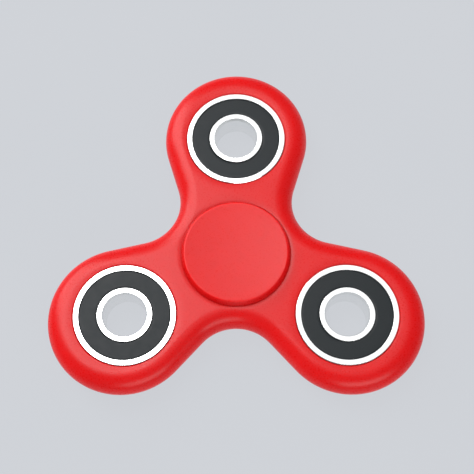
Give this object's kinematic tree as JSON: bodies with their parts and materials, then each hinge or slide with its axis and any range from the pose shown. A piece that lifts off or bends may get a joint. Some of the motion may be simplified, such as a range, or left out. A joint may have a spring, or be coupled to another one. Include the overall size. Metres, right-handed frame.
{
  "type": "fidget spinner",
  "caption": "Lobed hand spinner: a moulded frame turning on a sealed centre bearing between dished finger caps, with sealed ball bearings as its lobe weights.",
  "frame": {"origin": "on the spin axis, in the middle plane of the frame and the bearings", "axes": "+Z along the spin axis towards the upper cap, +Y towards the first lobe, +X to the right of it"},
  "size_m": [0.0808, 0.0743, 0.01],
  "materials": {
    "frame_plastic": "moulded ABS, finely textured, satin",
    "cap_plastic": "moulded ABS, finely textured, satin",
    "ring_steel": "ground and polished bearing steel",
    "ball_steel": "polished steel balls",
    "seal_rubber": "dark grey moulded nitrile rubber, satin",
    "cage_steel": "pressed steel"
  },
  "bodies": {
    "finger_caps": {"upper_cap": "cap_plastic", "lower_cap": "cap_plastic", "centre_inner_ring": "ring_steel"},
    "rotor": {"spinner_frame": "frame_plastic", "centre_outer_ring": "ring_steel", "centre_upper_seal": "seal_rubber", "centre_lower_seal": "seal_rubber", "lobe_1_outer_ring": "ring_steel", "lobe_1_upper_seal": "seal_rubber", "lobe_1_lower_seal": "seal_rubber", "lobe_2_outer_ring": "ring_steel", "lobe_2_upper_seal": "seal_rubber", "lobe_2_lower_seal": "seal_rubber", "lobe_3_outer_ring": "ring_steel", "lobe_3_upper_seal": "seal_rubber", "lobe_3_lower_seal": "seal_rubber"},
    "centre_cage": {"centre_ball_cage": "cage_steel"},
    "lobe_1_inner": {"lobe_1_inner_ring": "ring_steel"},
    "lobe_1_cage": {"lobe_1_ball_cage": "cage_steel"},
    "lobe_2_inner": {"lobe_2_inner_ring": "ring_steel"},
    "lobe_2_cage": {"lobe_2_ball_cage": "cage_steel"},
    "lobe_3_inner": {"lobe_3_inner_ring": "ring_steel"},
    "lobe_3_cage": {"lobe_3_ball_cage": "cage_steel"},
    "centre_ball_1": {"centre_ball_1": "ball_steel"},
    "centre_ball_2": {"centre_ball_2": "ball_steel"},
    "centre_ball_3": {"centre_ball_3": "ball_steel"},
    "centre_ball_4": {"centre_ball_4": "ball_steel"},
    "centre_ball_5": {"centre_ball_5": "ball_steel"},
    "centre_ball_6": {"centre_ball_6": "ball_steel"},
    "centre_ball_7": {"centre_ball_7": "ball_steel"},
    "lobe_1_ball_1": {"lobe_1_ball_1": "ball_steel"},
    "lobe_1_ball_2": {"lobe_1_ball_2": "ball_steel"},
    "lobe_1_ball_3": {"lobe_1_ball_3": "ball_steel"},
    "lobe_1_ball_4": {"lobe_1_ball_4": "ball_steel"},
    "lobe_1_ball_5": {"lobe_1_ball_5": "ball_steel"},
    "lobe_1_ball_6": {"lobe_1_ball_6": "ball_steel"},
    "lobe_1_ball_7": {"lobe_1_ball_7": "ball_steel"},
    "lobe_2_ball_1": {"lobe_2_ball_1": "ball_steel"},
    "lobe_2_ball_2": {"lobe_2_ball_2": "ball_steel"},
    "lobe_2_ball_3": {"lobe_2_ball_3": "ball_steel"},
    "lobe_2_ball_4": {"lobe_2_ball_4": "ball_steel"},
    "lobe_2_ball_5": {"lobe_2_ball_5": "ball_steel"},
    "lobe_2_ball_6": {"lobe_2_ball_6": "ball_steel"},
    "lobe_2_ball_7": {"lobe_2_ball_7": "ball_steel"},
    "lobe_3_ball_1": {"lobe_3_ball_1": "ball_steel"},
    "lobe_3_ball_2": {"lobe_3_ball_2": "ball_steel"},
    "lobe_3_ball_3": {"lobe_3_ball_3": "ball_steel"},
    "lobe_3_ball_4": {"lobe_3_ball_4": "ball_steel"},
    "lobe_3_ball_5": {"lobe_3_ball_5": "ball_steel"},
    "lobe_3_ball_6": {"lobe_3_ball_6": "ball_steel"},
    "lobe_3_ball_7": {"lobe_3_ball_7": "ball_steel"}
  },
  "joints": [
    {"name": "rotor_spin", "type": "hinge", "parent": "finger_caps", "child": "rotor", "pos_m": [0, 0, 0], "axis": [0, 0, 1], "continuous": true},
    {"name": "centre_cage_orbit", "type": "hinge", "parent": "finger_caps", "child": "centre_cage", "pos_m": [0, 0, 0], "axis": [0, 0, 1], "continuous": true},
    {"name": "lobe_1_inner_spin", "type": "hinge", "parent": "rotor", "child": "lobe_1_inner", "pos_m": [0, 0.0273, 0], "axis": [0, 0, 1], "continuous": true},
    {"name": "lobe_1_cage_orbit", "type": "hinge", "parent": "rotor", "child": "lobe_1_cage", "pos_m": [0, 0.0273, 0], "axis": [0, 0, 1], "continuous": true},
    {"name": "lobe_2_inner_spin", "type": "hinge", "parent": "rotor", "child": "lobe_2_inner", "pos_m": [-0.02364, -0.01365, 0], "axis": [0, 0, 1], "continuous": true},
    {"name": "lobe_2_cage_orbit", "type": "hinge", "parent": "rotor", "child": "lobe_2_cage", "pos_m": [-0.02364, -0.01365, 0], "axis": [0, 0, 1], "continuous": true},
    {"name": "lobe_3_inner_spin", "type": "hinge", "parent": "rotor", "child": "lobe_3_inner", "pos_m": [0.02364, -0.01365, 0], "axis": [0, 0, 1], "continuous": true},
    {"name": "lobe_3_cage_orbit", "type": "hinge", "parent": "rotor", "child": "lobe_3_cage", "pos_m": [0.02364, -0.01365, 0], "axis": [0, 0, 1], "continuous": true},
    {"name": "centre_ball_1_roll", "type": "hinge", "parent": "centre_cage", "child": "centre_ball_1", "pos_m": [0, 0.0075, 0], "axis": [0, 0, 1], "continuous": true},
    {"name": "centre_ball_2_roll", "type": "hinge", "parent": "centre_cage", "child": "centre_ball_2", "pos_m": [-0.00586, 0.00468, 0], "axis": [0, 0, 1], "continuous": true},
    {"name": "centre_ball_3_roll", "type": "hinge", "parent": "centre_cage", "child": "centre_ball_3", "pos_m": [-0.00731, -0.00167, 0], "axis": [0, 0, 1], "continuous": true},
    {"name": "centre_ball_4_roll", "type": "hinge", "parent": "centre_cage", "child": "centre_ball_4", "pos_m": [-0.00325, -0.00676, 0], "axis": [0, 0, 1], "continuous": true},
    {"name": "centre_ball_5_roll", "type": "hinge", "parent": "centre_cage", "child": "centre_ball_5", "pos_m": [0.00325, -0.00676, 0], "axis": [0, 0, 1], "continuous": true},
    {"name": "centre_ball_6_roll", "type": "hinge", "parent": "centre_cage", "child": "centre_ball_6", "pos_m": [0.00731, -0.00167, 0], "axis": [0, 0, 1], "continuous": true},
    {"name": "centre_ball_7_roll", "type": "hinge", "parent": "centre_cage", "child": "centre_ball_7", "pos_m": [0.00586, 0.00468, 0], "axis": [0, 0, 1], "continuous": true},
    {"name": "lobe_1_ball_1_roll", "type": "hinge", "parent": "lobe_1_cage", "child": "lobe_1_ball_1", "pos_m": [0, 0.0348, 0], "axis": [0, 0, 1], "continuous": true},
    {"name": "lobe_1_ball_2_roll", "type": "hinge", "parent": "lobe_1_cage", "child": "lobe_1_ball_2", "pos_m": [-0.00586, 0.03198, 0], "axis": [0, 0, 1], "continuous": true},
    {"name": "lobe_1_ball_3_roll", "type": "hinge", "parent": "lobe_1_cage", "child": "lobe_1_ball_3", "pos_m": [-0.00731, 0.02563, 0], "axis": [0, 0, 1], "continuous": true},
    {"name": "lobe_1_ball_4_roll", "type": "hinge", "parent": "lobe_1_cage", "child": "lobe_1_ball_4", "pos_m": [-0.00325, 0.02054, 0], "axis": [0, 0, 1], "continuous": true},
    {"name": "lobe_1_ball_5_roll", "type": "hinge", "parent": "lobe_1_cage", "child": "lobe_1_ball_5", "pos_m": [0.00325, 0.02054, 0], "axis": [0, 0, 1], "continuous": true},
    {"name": "lobe_1_ball_6_roll", "type": "hinge", "parent": "lobe_1_cage", "child": "lobe_1_ball_6", "pos_m": [0.00731, 0.02563, 0], "axis": [0, 0, 1], "continuous": true},
    {"name": "lobe_1_ball_7_roll", "type": "hinge", "parent": "lobe_1_cage", "child": "lobe_1_ball_7", "pos_m": [0.00586, 0.03198, 0], "axis": [0, 0, 1], "continuous": true},
    {"name": "lobe_2_ball_1_roll", "type": "hinge", "parent": "lobe_2_cage", "child": "lobe_2_ball_1", "pos_m": [-0.03014, -0.0174, 0], "axis": [0, 0, 1], "continuous": true},
    {"name": "lobe_2_ball_2_roll", "type": "hinge", "parent": "lobe_2_cage", "child": "lobe_2_ball_2", "pos_m": [-0.02476, -0.02107, 0], "axis": [0, 0, 1], "continuous": true},
    {"name": "lobe_2_ball_3_roll", "type": "hinge", "parent": "lobe_2_cage", "child": "lobe_2_ball_3", "pos_m": [-0.01854, -0.01915, 0], "axis": [0, 0, 1], "continuous": true},
    {"name": "lobe_2_ball_4_roll", "type": "hinge", "parent": "lobe_2_cage", "child": "lobe_2_ball_4", "pos_m": [-0.01616, -0.01309, 0], "axis": [0, 0, 1], "continuous": true},
    {"name": "lobe_2_ball_5_roll", "type": "hinge", "parent": "lobe_2_cage", "child": "lobe_2_ball_5", "pos_m": [-0.01942, -0.00745, 0], "axis": [0, 0, 1], "continuous": true},
    {"name": "lobe_2_ball_6_roll", "type": "hinge", "parent": "lobe_2_cage", "child": "lobe_2_ball_6", "pos_m": [-0.02585, -0.00648, 0], "axis": [0, 0, 1], "continuous": true},
    {"name": "lobe_2_ball_7_roll", "type": "hinge", "parent": "lobe_2_cage", "child": "lobe_2_ball_7", "pos_m": [-0.03062, -0.01091, 0], "axis": [0, 0, 1], "continuous": true},
    {"name": "lobe_3_ball_1_roll", "type": "hinge", "parent": "lobe_3_cage", "child": "lobe_3_ball_1", "pos_m": [0.03014, -0.0174, 0], "axis": [0, 0, 1], "continuous": true},
    {"name": "lobe_3_ball_2_roll", "type": "hinge", "parent": "lobe_3_cage", "child": "lobe_3_ball_2", "pos_m": [0.03062, -0.01091, 0], "axis": [0, 0, 1], "continuous": true},
    {"name": "lobe_3_ball_3_roll", "type": "hinge", "parent": "lobe_3_cage", "child": "lobe_3_ball_3", "pos_m": [0.02585, -0.00648, 0], "axis": [0, 0, 1], "continuous": true},
    {"name": "lobe_3_ball_4_roll", "type": "hinge", "parent": "lobe_3_cage", "child": "lobe_3_ball_4", "pos_m": [0.01942, -0.00745, 0], "axis": [0, 0, 1], "continuous": true},
    {"name": "lobe_3_ball_5_roll", "type": "hinge", "parent": "lobe_3_cage", "child": "lobe_3_ball_5", "pos_m": [0.01616, -0.01309, 0], "axis": [0, 0, 1], "continuous": true},
    {"name": "lobe_3_ball_6_roll", "type": "hinge", "parent": "lobe_3_cage", "child": "lobe_3_ball_6", "pos_m": [0.01854, -0.01915, 0], "axis": [0, 0, 1], "continuous": true},
    {"name": "lobe_3_ball_7_roll", "type": "hinge", "parent": "lobe_3_cage", "child": "lobe_3_ball_7", "pos_m": [0.02476, -0.02107, 0], "axis": [0, 0, 1], "continuous": true}
  ],
  "couplings": [
    {"joint": "centre_cage_orbit", "follows": "rotor_spin", "ratio": 0.6323},
    {"joint": "lobe_1_cage_orbit", "follows": "lobe_1_inner_spin", "ratio": 0.3677},
    {"joint": "lobe_2_cage_orbit", "follows": "lobe_2_inner_spin", "ratio": 0.3677},
    {"joint": "lobe_3_cage_orbit", "follows": "lobe_3_inner_spin", "ratio": 0.3677},
    {"joint": "centre_ball_1_roll", "follows": "rotor_spin", "ratio": 1.7574},
    {"joint": "centre_ball_2_roll", "follows": "rotor_spin", "ratio": 1.7574},
    {"joint": "centre_ball_3_roll", "follows": "rotor_spin", "ratio": 1.7574},
    {"joint": "centre_ball_4_roll", "follows": "rotor_spin", "ratio": 1.7574},
    {"joint": "centre_ball_5_roll", "follows": "rotor_spin", "ratio": 1.7574},
    {"joint": "centre_ball_6_roll", "follows": "rotor_spin", "ratio": 1.7574},
    {"joint": "centre_ball_7_roll", "follows": "rotor_spin", "ratio": 1.7574},
    {"joint": "lobe_1_ball_1_roll", "follows": "lobe_1_inner_spin", "ratio": -1.7574},
    {"joint": "lobe_1_ball_2_roll", "follows": "lobe_1_inner_spin", "ratio": -1.7574},
    {"joint": "lobe_1_ball_3_roll", "follows": "lobe_1_inner_spin", "ratio": -1.7574},
    {"joint": "lobe_1_ball_4_roll", "follows": "lobe_1_inner_spin", "ratio": -1.7574},
    {"joint": "lobe_1_ball_5_roll", "follows": "lobe_1_inner_spin", "ratio": -1.7574},
    {"joint": "lobe_1_ball_6_roll", "follows": "lobe_1_inner_spin", "ratio": -1.7574},
    {"joint": "lobe_1_ball_7_roll", "follows": "lobe_1_inner_spin", "ratio": -1.7574},
    {"joint": "lobe_2_ball_1_roll", "follows": "lobe_2_inner_spin", "ratio": -1.7574},
    {"joint": "lobe_2_ball_2_roll", "follows": "lobe_2_inner_spin", "ratio": -1.7574},
    {"joint": "lobe_2_ball_3_roll", "follows": "lobe_2_inner_spin", "ratio": -1.7574},
    {"joint": "lobe_2_ball_4_roll", "follows": "lobe_2_inner_spin", "ratio": -1.7574},
    {"joint": "lobe_2_ball_5_roll", "follows": "lobe_2_inner_spin", "ratio": -1.7574},
    {"joint": "lobe_2_ball_6_roll", "follows": "lobe_2_inner_spin", "ratio": -1.7574},
    {"joint": "lobe_2_ball_7_roll", "follows": "lobe_2_inner_spin", "ratio": -1.7574},
    {"joint": "lobe_3_ball_1_roll", "follows": "lobe_3_inner_spin", "ratio": -1.7574},
    {"joint": "lobe_3_ball_2_roll", "follows": "lobe_3_inner_spin", "ratio": -1.7574},
    {"joint": "lobe_3_ball_3_roll", "follows": "lobe_3_inner_spin", "ratio": -1.7574},
    {"joint": "lobe_3_ball_4_roll", "follows": "lobe_3_inner_spin", "ratio": -1.7574},
    {"joint": "lobe_3_ball_5_roll", "follows": "lobe_3_inner_spin", "ratio": -1.7574},
    {"joint": "lobe_3_ball_6_roll", "follows": "lobe_3_inner_spin", "ratio": -1.7574},
    {"joint": "lobe_3_ball_7_roll", "follows": "lobe_3_inner_spin", "ratio": -1.7574}
  ]
}
